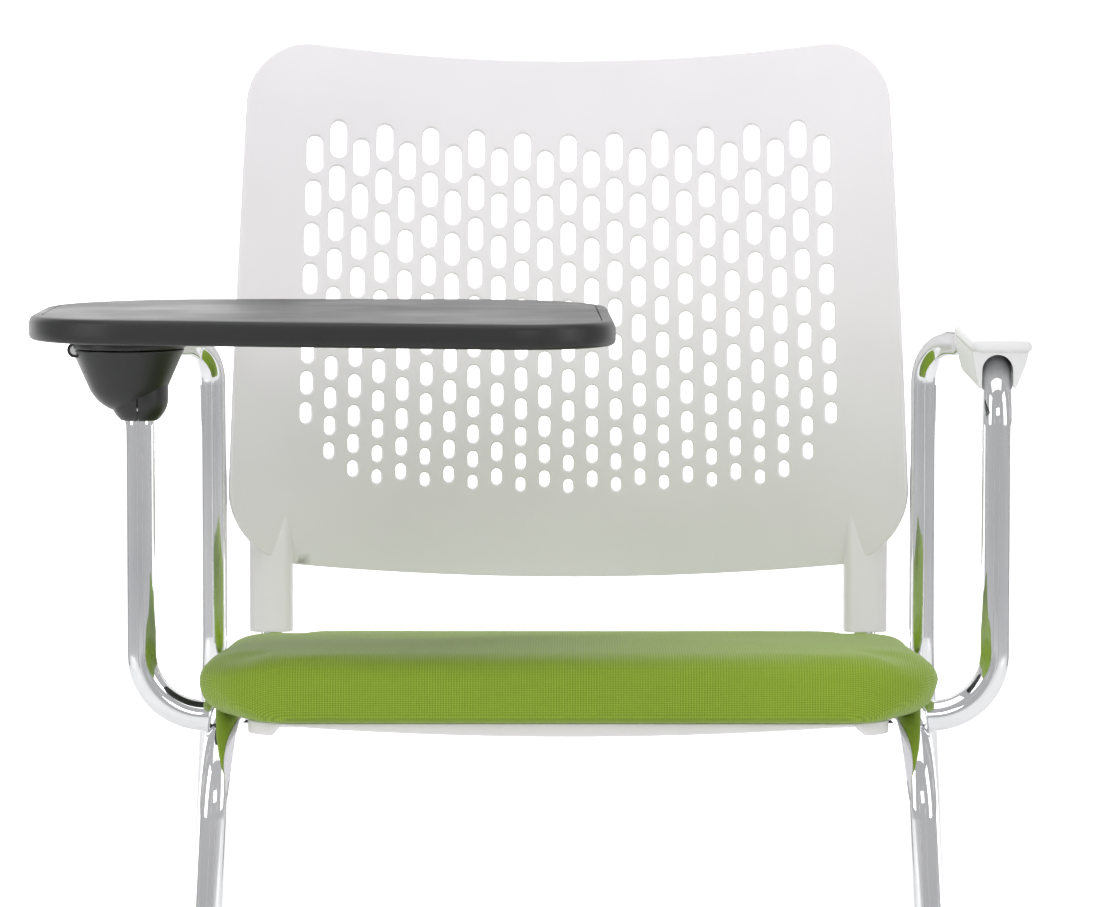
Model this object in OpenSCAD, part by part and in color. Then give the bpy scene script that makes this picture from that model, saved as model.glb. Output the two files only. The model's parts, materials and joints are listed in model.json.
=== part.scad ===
// Stacking classroom chair with arms and a folding writing tablet.
// Millimetres. Z is up from the floor, the sitter faces -Y, and the tablet is on the sitter's right (-X).
// The origin is on the floor, under the middle of the whole chair's outline.

/* [Frame tubes] */
// Outside diameter of the leg and arm tubes
tube_d = 20; // [18:1:22]
// Wall of the leg and arm tubes
tube_wall = 2; // [1.5:0.5:3]
// Centre-line radius of the wide bends: elbow of the front leg
elbow_r = 60; // [45:5:70]
// Centre-line radius of the bend that turns the seat rail up into the back
upright_r = 32; // [28:1:36]
// Centre-line radius of the arm's top bends
arm_bend_r = 34; // [30:1:38]
// Centre-line radius of the bend at the foot of the front arm post
post_foot_r = 42; // [38:1:46]

/* [Arms] */
// Distance between the centres of the front arm posts
arm_span = 555; // [545:5:600]
// Distance between the centres of the rear arm posts
rear_post_span = 505; // [495:5:520]
// Height of the centre of the arm tube
arm_z = 652; // [620:1:680]
// Front arm post, ahead of (-) the seat's reference line
front_post_y = -120; // [-140:5:-100]
// Rear arm post, behind the seat's reference line
rear_post_y = 215; // [205:5:225]
// How far the arm tube spreads outward between its front and rear bends
arm_spread = 5; // [0:1:8]

/* [Legs] */
// Distance between the front feet
front_foot_span = 488; // [470:2:500]
// How far the front feet stand ahead of the reference line
front_foot_y = -214; // [-235:1:-205]
// Distance between the rear feet
rear_foot_span = 552; // [530:2:580]
// How far the rear feet stand behind the reference line
rear_foot_y = 292; // [270:2:320]

/* [Seat] */
// Height of the rail centre at the elbow of the front leg
rail_z = 431; // [410:1:450]
// Distance between the rail centres at the front elbow
rail_front_span = 446; // [440:2:456]
// Backward slope of the seat, in degrees
seat_slope = 3; // [1:0.5:4]
// Width of the upholstered seat
seat_w = 480; // [470:2:500]
// Front edge of the upholstered seat
seat_front_y = -222; // [-230:1:-215]
// Rear edge of the upholstered seat
seat_rear_y = 204; // [190:1:210]
// Thickness of the upholstered seat over the rails
cushion_t = 33; // [28:1:40]
// Thickness of the plywood seat board
board_t = 10; // [8:1:12]
// Sheet thickness of the seat pan
pan_t = 3; // [2:0.5:3.5]

/* [Backrest] */
// Height of the backrest's upper corners
back_top_z = 863; // [820:1:900]
// How far the top edge dips in the middle
back_dip = 13; // [8:1:16]
// Height of the lowest point of the backrest
back_bottom_z = 479; // [470:1:490]
// Half width of the backrest at the top
back_top_half = 229; // [222:1:236]
// Half width of the backrest at its widest
back_low_half = 240.5; // [236:0.5:246]
// Thickness of the backrest shell
back_t = 5; // [4:0.5:6]
// Radius of the backrest's curve around the sitter
back_wrap_r = 700; // [600:10:850]
// Radius of the backrest's side profile
back_profile_r = 800; // [700:10:1000]
// Height at which the backrest comes furthest forward
lumbar_z = 590; // [570:1:610]
// Face of the backrest in the middle at that height
back_face_y = 252; // [250:1:256]
// Distance between the centres of the backrest's two sockets
upright_span = 425; // [419:1:429]
// Width of each socket
socket_w = 31; // [28:1:33]
// Depth of each socket
socket_d = 28; // [26:1:30]

/* [Backrest slots] */
// Columns of slots each side of the middle one
slot_cols = 11; // [7:1:11]
// Slot column spacing at the top
slot_pitch_x = 16.4; // [15.5:0.1:16.6]
// Width of the top slots
slot_w_top = 11.5; // [9:0.5:12]
// Width of the bottom slots
slot_w_low = 6.5; // [5:0.5:7]
// Step between the first two slots of a column
slot_step = 32; // [30:0.5:33]
// How much each step is shorter than the one above
slot_step_drop = 1.63; // [1.4:0.01:1.8]
// Bar left between two slots of a column
slot_bar = 6; // [5:0.5:7]

/* [Tablet] */
// Height of the writing surface over the centre of the arm tube
tablet_rise = 38; // [33:1:48]
// Thickness of the writing board
tablet_t = 16; // [14:1:18]
// Width of the moulded edge around the board
tablet_edge = 9; // [6:1:12]
// Radius of the round cover under the tablet
cover_r = 37; // [35:1:40]
// Radius of the flip hinge's pin
pin_r = 3; // [2:0.5:3.5]
// Radius of the flip hinge's knuckles
knuckle_r = 5; // [4.5:0.1:5]
// Radius of the swivel bolt's shank
swivel_r = 6; // [5:0.5:8]

/* [Arm pad] */
// Width of the arm pad
pad_w = 40; // [36:1:46]
// Length of the arm pad
pad_l = 210; // [180:5:220]
// Height of the pad's top over the tube's centre
pad_rise = 19; // [17:1:22]

/* [Glides] */
// Diameter of the leg glides
glide_d = 25; // [23:1:30]
// Height of the leg glides
glide_h = 12; // [10:1:16]

/* [Hidden] */
$fn = 48;

tube_r = tube_d / 2;
bend_swell = 0.15;      // how much thicker a bend's wall is, inside and out
bend_lap = 0.6;         // how far a straight runs into a bend
fit_gap = 0.05;         // running clearance of pins and plugs
air = 0.5;              // clearance between pieces that pass each other
big = 2000;             // size of the blocks that cut things off

// Points of the frame, on the +X side
slope = tan(seat_slope);
arm_x = arm_span / 2;
rear_x = rear_post_span / 2;
upright_x = upright_span / 2;
elbow_y = -188;          // the corner where the front leg turns into the seat rail
elbow = [rail_front_span / 2, elbow_y, rail_z];
upright_y = back_face_y - wrap_sag(upright_x) + socket_d / 2 + profile_sag(back_bottom_z) - 2;
rail_end = [upright_x, upright_y, rail_z - (upright_y - elbow[1]) * slope];
upright_rise = 68;       // how far the uprights reach up behind the backrest
upright_top = [upright_x, upright_y, back_bottom_z + upright_rise];
front_foot = [front_foot_span / 2, front_foot_y, glide_h - 4];
rear_foot = [rear_foot_span / 2, rear_foot_y, glide_h - 4];
knee_z = 430;            // height at which the rear post leans back into the rear leg
knee = [rear_x, rear_post_y, knee_z];
arm_rear_x = arm_x + arm_spread;
arm_turn = 38.5;         // how sharply the arm turns in towards its rear post, in degrees
arm_turn_y = rear_post_y - (arm_rear_x - rear_x) / tan(arm_turn);
stub_y = front_post_y;
stub_z = rail_height(stub_y);
stub_off = 4;       // the arm tube's end stands this far off the rail's centre line, where it is saddled on
leg_path = [front_foot, elbow, rail_end, upright_top];
leg_bends = [0, elbow_r, upright_r, 0];
arm_path = [
    [rail_x(stub_y) + stub_off, stub_y, stub_z],
    [arm_x, front_post_y, stub_z],
    [arm_x, front_post_y, arm_z],
    [arm_rear_x, arm_turn_y, arm_z],
    [rear_x, rear_post_y, arm_z],
    knee,
    rear_foot
];
rear_bend_r = 30;
knee_r = 120;
arm_bends = [0, post_foot_r, arm_bend_r, rear_bend_r, rear_bend_r, knee_r, 0];

function rail_x(y) = elbow[0] + (upright_x - elbow[0]) * (y - elbow[1]) / (upright_y - elbow[1]);
function rail_height(y) = rail_z - (y - elbow[1]) * slope;
function unit(v) = v / norm(v);
function turn(a, b, c) = acos(unit(b - a) * unit(c - b));
// Curve of the backrest: sideways (wrap) and up (profile)
function wrap_sag(x) = back_wrap_r - sqrt(back_wrap_r * back_wrap_r - x * x);
function profile_sag(z) = back_profile_r - sqrt(pow(back_profile_r, 2) - pow(z - lumbar_z, 2));
function arc_points(c, r, a0, a1, n) = [
    for (i = [0:n]) let (a = a0 + (a1 - a0) * i / n) c + r * [cos(a), sin(a)]
];

// Seat stack, measured at the seat's front in the sloping frame
pan_top = -5 + tube_r - 3;      // top of the pan over the rail's centre line
pan_front_y = seat_front_y + 14;
pan_rear_y = seat_rear_y - 8;
pan_half = rail_x(seat_rear_y) - tube_r - 0.8;      // clears the rails where they are closest together
lip_t = 8;
board_half = pan_half - 8;
board_front_y = seat_front_y + 24;
board_rear_y = seat_rear_y - 22;
over_rail = tube_r + 0.4;
bar_w = 40;
bar_t = 5;
front_bar_y = -60;
middle_bar_y = 130;
screw_x = 120;
screw_r = 3;

// Tablet linkage
tablet_base_z = arm_z + tablet_rise - tablet_t;
swivel_x = -(arm_x + 7.3);
swivel_y = front_post_y + 2;
hinge_x = swivel_x - cover_r + 4;
plate_t = 4;
disc_t = 2.5;
washer_t = 1;
disc_z = tablet_base_z - disc_t;            // underside of the disc screwed to the board
flip_z = disc_z - washer_t - plate_t;       // underside of the flip plate
hinge_z = flip_z - 0.5;
cover_top = flip_z - air;
knuckle_l = 16;
ear_l = 7;
ear_y = knuckle_l / 2 + 0.3;     // inner face of each hinge ear, from the swivel's axis
cut_low = arm_z - 2;    // foot of the cover's opening for the hinge
clamp_low = arm_z - 36;
clamp_h = 26;
clamp_r = 18.5;
clamp_screw_r = 1.6;
clamp_screw_gap = 15;
clamp_screw_z = clamp_low + 12;
cover_low = arm_z - 27.5;   // lowest point of the cover
cover_ball_r = 28;
cover_flare = 23;       // how far the cover's side leans out from upright, in degrees
cover_wall = 2.5;
swivel_head_r = 10;

// Outline of the tablet: four corner arcs, [x, y, radius] from the chair's middle
tablet_corners = [[-266, -145, 80], [-28, -215, 58], [-78, -50, 105], [-236, -55, 110]];

// Outline ends, which place the chair over the origin
x_low = min([for (c = tablet_corners) c[0] - c[2]]);
x_high = arm_x + arm_spread + 0.56 * pad_w;
chair_x = -(x_low + x_high) / 2;
y_low = min([for (c = tablet_corners) c[1] - c[2]]);
back_y = back_face_y + profile_sag(back_top_z) + back_t;
chair_y = -(y_low + max(back_y, rear_foot_y + glide_d / 2)) / 2;

module placed() {
    translate([chair_x, chair_y, 0]) children();
}

// Sloping frame of the seat, its origin on the rails' centre line under the front edge of the elbow
module on_seat() {
    translate([0, elbow[1], rail_z]) rotate([-seat_slope, 0, 0]) translate([0, -elbow[1], 0]) children();
}

// Round bar from a to b; roll turns it about its own length
module rod(a, b, r, roll = 0) {
    v = b - a;
    translate(a) rotate([0, acos(v[2] / norm(v)), atan2(v[1], v[0])]) rotate([0, 0, roll])
        cylinder(h = norm(v), r = r);
}

// Straight tube from a to b
module pipe(a, b, r, wall) {
    v = b - a;
    translate(a) rotate([0, acos(v[2] / norm(v)), atan2(v[1], v[0])]) tube_length(norm(v), r, wall);
}

// Straight tube along +Z; a wall of 0 makes it solid
module tube_length(h, r, wall) {
    if (wall == 0)
        cylinder(h = h, r = r);
    else
        difference() {
            cylinder(h = h, r = r);
            translate([0, 0, -1]) cylinder(h = h + 2, r = r - wall);
        }
}

// Bend of a tube that comes up along +Z and leans over towards +X.
// Its wall is a hair thicker than the straights', which run into it by bend_lap, so that they join cleanly.
module tube_bend(angle, bend_r, r, wall) {
    translate([bend_r, 0, 0]) rotate([90, 0, 180])
        rotate_extrude(angle = angle, $fn = 96) translate([bend_r, 0]) difference() {
            circle(r = r + bend_swell);
            if (wall > 0)
                circle(r = r - wall - bend_swell);
        }
}

// Length that the bend at point i takes from the straight on each side
function bend_cut(p, bends, i) =
    (i == 0 || i == len(p) - 1) ? 0 : bends[i] * tan(turn(p[i - 1], p[i], p[i + 1]) / 2);

function snap(v) = round(v * 1000) / 1000;

// Tube from point i on, drawn along +Z; side is where its +X points
module tube_from(p, bends, i, side, r, wall) {
    u = unit(p[i + 1] - p[i]);
    l = snap(norm(p[i + 1] - p[i]) - bend_cut(p, bends, i) - bend_cut(p, bends, i + 1));
    before = i > 0 ? bend_lap : 0;
    after = i < len(p) - 2 ? bend_lap : 0;
    translate([0, 0, -before]) tube_length(l + before + after, r, wall);
    if (i < len(p) - 2) {
        w = unit(p[i + 2] - p[i + 1]);
        angle = snap(acos(u * w));
        inward = unit(w - (u * w) * u);
        next_side = inward * cos(angle) - u * sin(angle);
        translate([0, 0, l]) rotate([0, 0, atan2(inward * cross(u, side), inward * side)]) {
            tube_bend(angle, bends[i + 1], r, wall);
            translate([bends[i + 1], 0, 0]) rotate([0, angle, 0]) translate([-bends[i + 1], 0, 0])
                tube_from(p, bends, i + 1, next_side, r, wall);
        }
    }
}

// Bent tube through the corner points p, with a bend radius for each
module tube_run(p, bends, r, wall) {
    u = unit(p[1] - p[0]);
    tip = acos(u[2]);
    swing = atan2(u[1], u[0]);
    translate(p[0]) rotate([0, tip, swing])
        tube_from(p, bends, 0, [cos(tip) * cos(swing), cos(tip) * sin(swing), -sin(tip)], r, wall);
}

module both_sides() {
    children();
    mirror([1, 0, 0]) children();
}

module round_rect(w, d, r) {
    square([w - 2 * r, d], center = true);
    square([w, d - 2 * r], center = true);
    for (x = [-1, 1], y = [-1, 1])
        translate([x * (w / 2 - r), y * (d / 2 - r)]) circle(r = r);
}

// Slab with full round edges, its flat outline w by d with corners of radius r
module bullnose_slab(w, d, t, r) {
    e = t / 2;
    linear_extrude(t) round_rect(w - 2 * e, d - 2 * e, r - e);
    for (s = [-1, 1]) {
        translate([-(w / 2 - r), s * (d / 2 - e), e]) rotate([0, 90, 0]) cylinder(h = w - 2 * r, r = e);
        translate([s * (w / 2 - e), d / 2 - r, e]) rotate([90, 0, 0]) cylinder(h = d - 2 * r, r = e);
    }
    for (q = [0:3])
        rotate([0, 0, q * 90]) {
            qx = q % 2 == 0 ? w / 2 : d / 2;
            qy = q % 2 == 0 ? d / 2 : w / 2;
            translate([qx - r, qy - r, e]) rotate_extrude(angle = 90) translate([r - e, 0]) circle(r = e);
        }
}

// Pan head screw along +Z, head below
module screw(length, r, head_r, head_h) {
    cylinder(h = length, r = r, $fn = 24);
    translate([0, 0, -head_h]) cylinder(h = head_h, r = head_r, $fn = 24);
}

// Frame

module leg_tube() {
    tube_run(leg_path, leg_bends, tube_r, tube_wall);
}

module arm_tube() {
    difference() {
        tube_run(arm_path, arm_bends, tube_r, tube_wall);
        rod([rail_x(-300), -300, rail_height(-300)], [rail_x(100), 100, rail_height(100)], tube_r);
    }
}

module left_leg_tube() {
    color("silver") placed() mirror([1, 0, 0]) leg_tube();
}

module right_leg_tube() {
    color("silver") placed() leg_tube();
}

module left_arm_tube() {
    color("silver") placed() mirror([1, 0, 0]) arm_tube();
}

module right_arm_tube() {
    color("silver") placed() arm_tube();
}

// Flat bar between the rails, drilled for two seat screws
module cross_bar(y) {
    on_seat() difference() {
        translate([-rail_x(y), y - bar_w / 2, pan_top - pan_t - bar_t]) cube([2 * rail_x(y), bar_w, bar_t]);
        both_sides() rod([rail_x(-300), -300, 0], [rail_x(300), 300, 0], tube_r);
        for (s = [-1, 1])
            translate([s * screw_x, y, -20]) cylinder(h = 40, r = screw_r + 0.3);
    }
}

module front_cross_bar() {
    color("silver") placed() cross_bar(front_bar_y);
}

module middle_cross_bar() {
    color("silver") placed() cross_bar(middle_bar_y);
}

module rear_cross_tube() {
    y = rear_post_y + 4 - 0.8 * tube_d;         // against the front of the rear posts
    z = rail_height(y) - tube_d - 0.02;
    color("silver") placed() difference() {
        pipe([-rear_x, y, z], [rear_x, y, z], tube_r, tube_wall);
        both_sides() rod(knee + (rear_foot - knee) * -0.5, rear_foot, tube_r);
    }
}

// Foot cap: a flat-bottomed cup round the tube's end, with a plug up its bore
module glide(foot, toward) {
    u = unit(toward - foot);
    difference() {
        translate([foot[0], foot[1], 0]) cylinder(h = glide_h, r = glide_d / 2);
        rod(foot, foot + u * 30, tube_r + fit_gap, 50);
    }
    rod(foot - u * 1, foot + u * 18, tube_r - tube_wall - fit_gap);
}

module leg_glides() {
    color("dimgray") placed() both_sides() {
        glide(front_foot, elbow);
        glide(rear_foot, knee);
    }
}

// Rubber saddles under the seat rails, on which the chair above rests
module stacking_bumpers() {
    color("#444444") placed() both_sides() on_seat() difference() {
        translate([rail_x(20) - tube_r - 1, 0, -tube_r - 4]) cube([tube_d + 2, 40, tube_r]);
        rod([rail_x(-300), -300, 0], [rail_x(300), 300, 0], tube_r);
    }
}

// Seat

module seat_pan() {
    mid_y = (pan_front_y + pan_rear_y) / 2;
    pan_l = pan_rear_y - pan_front_y;
    color("white") placed() on_seat() difference() {
        translate([0, mid_y, pan_top - lip_t]) linear_extrude(lip_t) round_rect(2 * pan_half, pan_l, 40);
        translate([0, mid_y, pan_top - lip_t - 1]) linear_extrude(lip_t + 1 - pan_t)
            round_rect(2 * pan_half - 2 * pan_t, pan_l - 2 * pan_t, 40 - pan_t);
        for (y = [front_bar_y, middle_bar_y]) {
            translate([-big / 2, y - bar_w / 2 - air, pan_top - pan_t - big])
                cube([big, bar_w + 2 * air, big]);
            for (s = [-1, 1])
                translate([s * screw_x, y, -30]) cylinder(h = 60, r = screw_r + 0.3);
        }
    }
}

module board_outline(grow) {
    translate([0, (board_front_y + board_rear_y) / 2])
        round_rect(2 * board_half + 2 * grow, board_rear_y - board_front_y + 2 * grow, 34 + grow);
}

module seat_board() {
    color("burlywood") placed() on_seat() difference() {
        translate([0, 0, pan_top]) linear_extrude(board_t) board_outline(0);
        for (y = [front_bar_y, middle_bar_y], s = [-1, 1])
            translate([s * screw_x, y, pan_top - 1]) cylinder(h = board_t + 2, r = 4.5);
    }
}

module seat_cushion() {
    mid_y = (seat_front_y + seat_rear_y) / 2;
    seat_l = seat_rear_y - seat_front_y;
    color("yellowgreen") placed() on_seat() difference() {
        union() {
            translate([0, mid_y, over_rail]) bullnose_slab(seat_w, seat_l, cushion_t, 62);
            translate([0, mid_y, pan_top]) linear_extrude(over_rail - pan_top + cushion_t / 2)
                round_rect(2 * pan_half, seat_l - 2, 50);
        }
        translate([0, 0, pan_top - 1]) linear_extrude(board_t + 1) board_outline(0);
        for (y = [front_bar_y, middle_bar_y], s = [-1, 1])
            translate([s * screw_x, y, pan_top + board_t - 1]) cylinder(h = 6, r = 7);
    }
}

module seat_screws() {
    color("gray") placed() on_seat()
        for (y = [front_bar_y, middle_bar_y], s = [-1, 1])
            translate([s * screw_x, y, pan_top - pan_t - bar_t])
                screw(bar_t + pan_t + board_t - 1, screw_r, 6, 4);
}

module seat_tee_nuts() {
    color("gray") placed() on_seat()
        for (y = [front_bar_y, middle_bar_y], s = [-1, 1])
            translate([s * screw_x, y, pan_top]) difference() {
                union() {
                    translate([0, 0, 1]) cylinder(h = board_t - 1, r = 4.45);
                    translate([0, 0, board_t]) cylinder(h = 1.5, r = 7 - fit_gap);
                }
                translate([0, 0, -1]) cylinder(h = board_t + 4, r = screw_r + fit_gap);
            }
}

// Backrest

corner_top_r = 42;
corner_low_r = 55;
// Radii of the long arcs of the top and bottom edges, from their sagittas
dip_r = (pow(back_top_half - corner_top_r, 2) + pow(back_dip, 2)) / (2 * back_dip);
belly_drop = 14;
belly_r = (pow(upright_x, 2) + pow(belly_drop, 2)) / (2 * belly_drop);
// Corner centres, tangent to the long arcs
top_cx = back_top_half - corner_top_r;
top_cz = back_top_z - corner_top_r;
dip_cz = top_cz + sqrt(pow(dip_r + corner_top_r, 2) - pow(top_cx, 2));
low_cx = back_low_half - corner_low_r;
belly_cz = back_bottom_z + belly_r;
low_cz = belly_cz - sqrt(pow(belly_r - corner_low_r, 2) - pow(low_cx, 2));
dip_half_a = asin(top_cx / (dip_r + corner_top_r));
belly_half_a = asin(low_cx / (belly_r - corner_low_r));
side_a = atan((back_low_half - back_top_half) / (top_cz - low_cz));

module back_outline() {
    polygon(concat(
        arc_points([0, belly_cz], belly_r, -90 - belly_half_a, -90 + belly_half_a, 12),
        arc_points([low_cx, low_cz], corner_low_r, -90 + belly_half_a + 10, side_a, 8),
        arc_points([top_cx, top_cz], corner_top_r, side_a, 90 + dip_half_a - 12, 8),
        arc_points([0, dip_cz], dip_r, -90 + dip_half_a, -90 - dip_half_a, 10),
        arc_points([-top_cx, top_cz], corner_top_r, 90 - dip_half_a + 12, 180 - side_a, 8),
        arc_points([-low_cx, low_cz], corner_low_r, 180 - side_a, 270 - belly_half_a - 10, 8)
    ));
}

// Height of the top of slot i in a column, and how far outer columns rise
slot_top_z = 797;
slot_stagger = 11.8;
slot_rise = 12;
slot_fan = 0.003;
function slot_drop(i) = i * slot_step - slot_step_drop * i * (i - 1) / 2;
function slot_len(i) = slot_step - slot_step_drop * i - slot_bar;
function slot_count(k) = abs(k) % 2 == 0 ? (abs(k) < 10 ? 11 : 10) : (abs(k) < 11 ? 10 : 8);
function slot_head(k) = slot_top_z - (abs(k) % 2) * slot_stagger + slot_rise * pow(abs(k) / 11, 1.3);
function slot_width(i) = slot_w_top + (slot_w_low - slot_w_top) * i / 10;

module slots() {
    for (k = [-slot_cols:slot_cols])
        for (i = [0:slot_count(k) - 1]) {
            w = slot_width(i);
            z = slot_head(k) - slot_drop(i) - slot_len(i) / 2;
            x = k * (slot_pitch_x + (slot_top_z - z) * slot_fan);
            translate([x, z]) {
                square([w, slot_len(i) - w], center = true);
                for (s = [-1, 1])
                    translate([0, s * (slot_len(i) - w) / 2]) circle(d = w, $fn = 16);
            }
        }
}

module back_shell() {
    intersection() {
        translate([0, back_face_y - back_wrap_r, 0]) rotate([0, 0, 90 - 24])
            rotate_extrude(angle = 48, $fn = 240) intersection() {
                translate([back_wrap_r + back_profile_r, lumbar_z]) difference() {
                    circle(r = back_profile_r, $fn = 240);
                    circle(r = back_profile_r - back_t, $fn = 240);
                }
                translate([back_wrap_r - 20, back_bottom_z - 20])
                    square([140, back_top_z - back_bottom_z + 40]);
            }
        translate([0, 600, 0]) rotate([90, 0, 0]) linear_extrude(600) back_outline();
    }
}

socket_low = rail_end[2] + upright_r + 2;
socket_top = upright_top[2] + 14;
back_screw_z = upright_top[2] - 20;

module backrest() {
    color("whitesmoke") placed() difference() {
        union() {
            difference() {
                back_shell();
                translate([0, 600, 0]) rotate([90, 0, 0]) linear_extrude(600) slots();
            }
            both_sides() translate([upright_x, upright_y, socket_low]) linear_extrude(socket_top - socket_low)
                round_rect(socket_w, socket_d, 6);
        }
        both_sides() {
            translate([upright_x, upright_y, socket_low - 30])
                cylinder(h = upright_top[2] - socket_low + 31, r = tube_r + fit_gap);
            translate([upright_x, upright_y, back_screw_z]) rotate([-90, 0, 0]) cylinder(h = 40, r = 2.2);
        }
        both_sides() translate([upright_x, upright_y + socket_d / 2 - 1, back_screw_z])
            rotate([-90, 0, 0]) cylinder(h = 5, r = 4.3);
    }
}

module back_screws() {
    color("gray") placed() both_sides()
        translate([upright_x, upright_y + socket_d / 2 - 1, back_screw_z]) rotate([90, 0, 0])
            screw(socket_d / 2 - tube_r - 1 - fit_gap, 2, 4, 2);
}

// Arm pad

pad_angle = -atan(arm_spread / (arm_turn_y - front_post_y));
pad_low = -11;          // lowest part of the pad's body, from the tube's centre
pad_slab = 8;
pad_offset = 3;         // how far the pad's slab stands outward of the tube
pad_screw_y = [60, 160];

// Frame along the arm tube: origin at the tube's centre over the front post, +Y to the rear
module on_arm() {
    translate([arm_x, front_post_y, arm_z]) rotate([0, 0, pad_angle]) children();
}

module arm_pad() {
    color("white") placed() on_arm() difference() {
        union() {
            translate([pad_offset, pad_l / 2 - pad_offset, pad_rise - pad_slab])
                linear_extrude(pad_slab) round_rect(pad_w, pad_l, 5);
            rotate([-90, 0, 0]) linear_extrude(pad_l - pad_slab)
                polygon([[-15, -12], [18, -12], [13, -pad_low], [-13, -pad_low]]);
        }
        translate([0, -40, 0]) rotate([-90, 0, 0]) cylinder(h = pad_l + 80, r = tube_r + fit_gap);
        translate([-tube_r - fit_gap, -40, -30]) cube([tube_d + 2 * fit_gap, pad_l + 80, 30]);
        translate([-tube_r - 2, -60, -30]) cube([tube_d + 4, 60 + arm_bend_r, 30 + tube_r + 0.3]);
        for (y = pad_screw_y)
            translate([0, y, 0]) cylinder(h = pad_rise - 3, r = 2.1);
    }
}

module arm_pad_screws() {
    color("gray") placed() on_arm()
        for (y = pad_screw_y)
            translate([0, y, tube_r + 0.3]) cylinder(h = pad_rise - tube_r - 4, r = 2);
}

// Tablet

// Space that the arm tube takes at its front bend, with r to spare round its centre line
module arm_channel(r) {
    tube_run([[-arm_x, front_post_y, stub_z + 60], [-arm_x, front_post_y, arm_z],
        [-arm_x, front_post_y + 140, arm_z]], [0, arm_bend_r, 0], r, 0);
}

// Round-bottomed block that the split clamp is made from, with gap to spare around it
module clamp_body(gap) {
    r = clamp_r + gap;
    top = clamp_low + clamp_h + gap;
    translate([-arm_x, front_post_y, 0]) rotate_extrude()
        polygon(concat(arc_points([0, clamp_low + clamp_r], r, -90, 0, 8), [[r, top], [0, top]]));
}

// Bracket off the outer clamp half: it rises inside the cover, then reaches out over its wall to the ears
module hinge_bracket() {
    inner = -arm_x - tube_r - 2;
    foot = clamp_low + clamp_h - 2;
    shelf = cut_low + 1;
    translate([swivel_x - 16, swivel_y - 8, foot]) cube([inner - swivel_x + 16, 16, shelf + 4 - foot]);
    translate([hinge_x + 6, swivel_y - ear_y - ear_l, shelf])
        cube([inner - hinge_x - 6, 2 * (ear_y + ear_l), 4]);
}

// Half of the split clamp around the front bend: side -1 is the outer half, 1 the inner
module clamp_half(side) {
    difference() {
        clamp_body(0);
        arm_channel(tube_r + bend_swell);
        translate([-arm_x - (side < 0 ? 0.2 : 100), front_post_y - 50, clamp_low - 1])
            cube([100.2, 100, clamp_h + 2]);
        clamp_screw_holes(clamp_screw_r + 0.02);
    }
}

module clamp_screw_holes(r) {
    for (s = [-1, 1])
        translate([-arm_x - 30, front_post_y + s * clamp_screw_gap, clamp_screw_z])
            rotate([0, 90, 0]) cylinder(h = 60, r = r, $fn = 24);
}

module clamp_outer_half() {
    color("#2b2b2b") placed() difference() {
        union() {
            clamp_half(-1);
            hinge_bracket();
            for (s = [-1, 1])
                translate([0, swivel_y + s * (ear_y + ear_l / 2), 0]) {
                    translate([hinge_x - 2, -ear_l / 2, cut_low + 1])
                        cube([14, ear_l, hinge_z - cut_low - 1]);
                    translate([hinge_x, -ear_l / 2, hinge_z])
                        rotate([-90, 0, 0]) cylinder(h = ear_l, r = knuckle_r);
                }
        }
        translate([hinge_x, swivel_y - 40, hinge_z]) rotate([-90, 0, 0]) cylinder(h = 80, r = pin_r + 0.01);
        arm_channel(tube_r + bend_swell);
    }
}

module clamp_inner_half() {
    color("#2b2b2b") placed() clamp_half(1);
}

module clamp_screws() {
    color("gray") placed() intersection() {
        clamp_screw_holes(clamp_screw_r);
        clamp_body(0);
    }
}

module hinge_pin() {
    l = knuckle_l + 2 * ear_l + 1.6;
    color("silver") placed() translate([hinge_x, swivel_y - l / 2, hinge_z])
        rotate([-90, 0, 0]) cylinder(h = l, r = pin_r);
}

// Outline of the cover's section: a round bottom that opens into a cone, pulled in by inset
function cover_section(inset) = concat(
    arc_points([0, cover_low + cover_ball_r], cover_ball_r - inset, -90, -cover_flare, 8),
    [[cover_r - inset, cover_top + inset], [0, cover_top + inset]]
);

// Bowl over the clamp, open at the back so that it slides on over the arm tube
module hinge_cover() {
    color("#2b2b2b") placed() difference() {
        translate([swivel_x, swivel_y, 0]) rotate_extrude() difference() {
            polygon(cover_section(0));
            polygon(cover_section(cover_wall));
        }
        clamp_body(0.2);
        translate([-arm_x - tube_r - 0.4, front_post_y, clamp_low - 10]) cube([tube_d + 0.8, 80, 100]);
        translate([swivel_x - 60, swivel_y - knuckle_l / 2 - ear_l - 2, cut_low])
            cube([60 + hinge_x + 12 - swivel_x, knuckle_l + 2 * ear_l + 4, 30]);
    }
}

module flip_plate() {
    cut_x = hinge_x + knuckle_r + 1;
    color("#2b2b2b") placed() difference() {
        union() {
            intersection() {
                translate([swivel_x, swivel_y, flip_z]) cylinder(h = plate_t, r = cover_r);
                translate([cut_x, swivel_y - 60, flip_z - 1]) cube([120, 120, plate_t + 2]);
            }
            translate([hinge_x, swivel_y - knuckle_l / 2, flip_z])
                cube([cut_x - hinge_x + 1, knuckle_l, plate_t]);
            translate([hinge_x, swivel_y - knuckle_l / 2, hinge_z])
                rotate([-90, 0, 0]) cylinder(h = knuckle_l, r = knuckle_r);
        }
        translate([hinge_x, swivel_y - 30, hinge_z])
            rotate([-90, 0, 0]) cylinder(h = 60, r = pin_r + fit_gap);
        translate([swivel_x, swivel_y, flip_z - 1]) cylinder(h = plate_t + 2, r = swivel_r + 0.01);
    }
}

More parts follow.
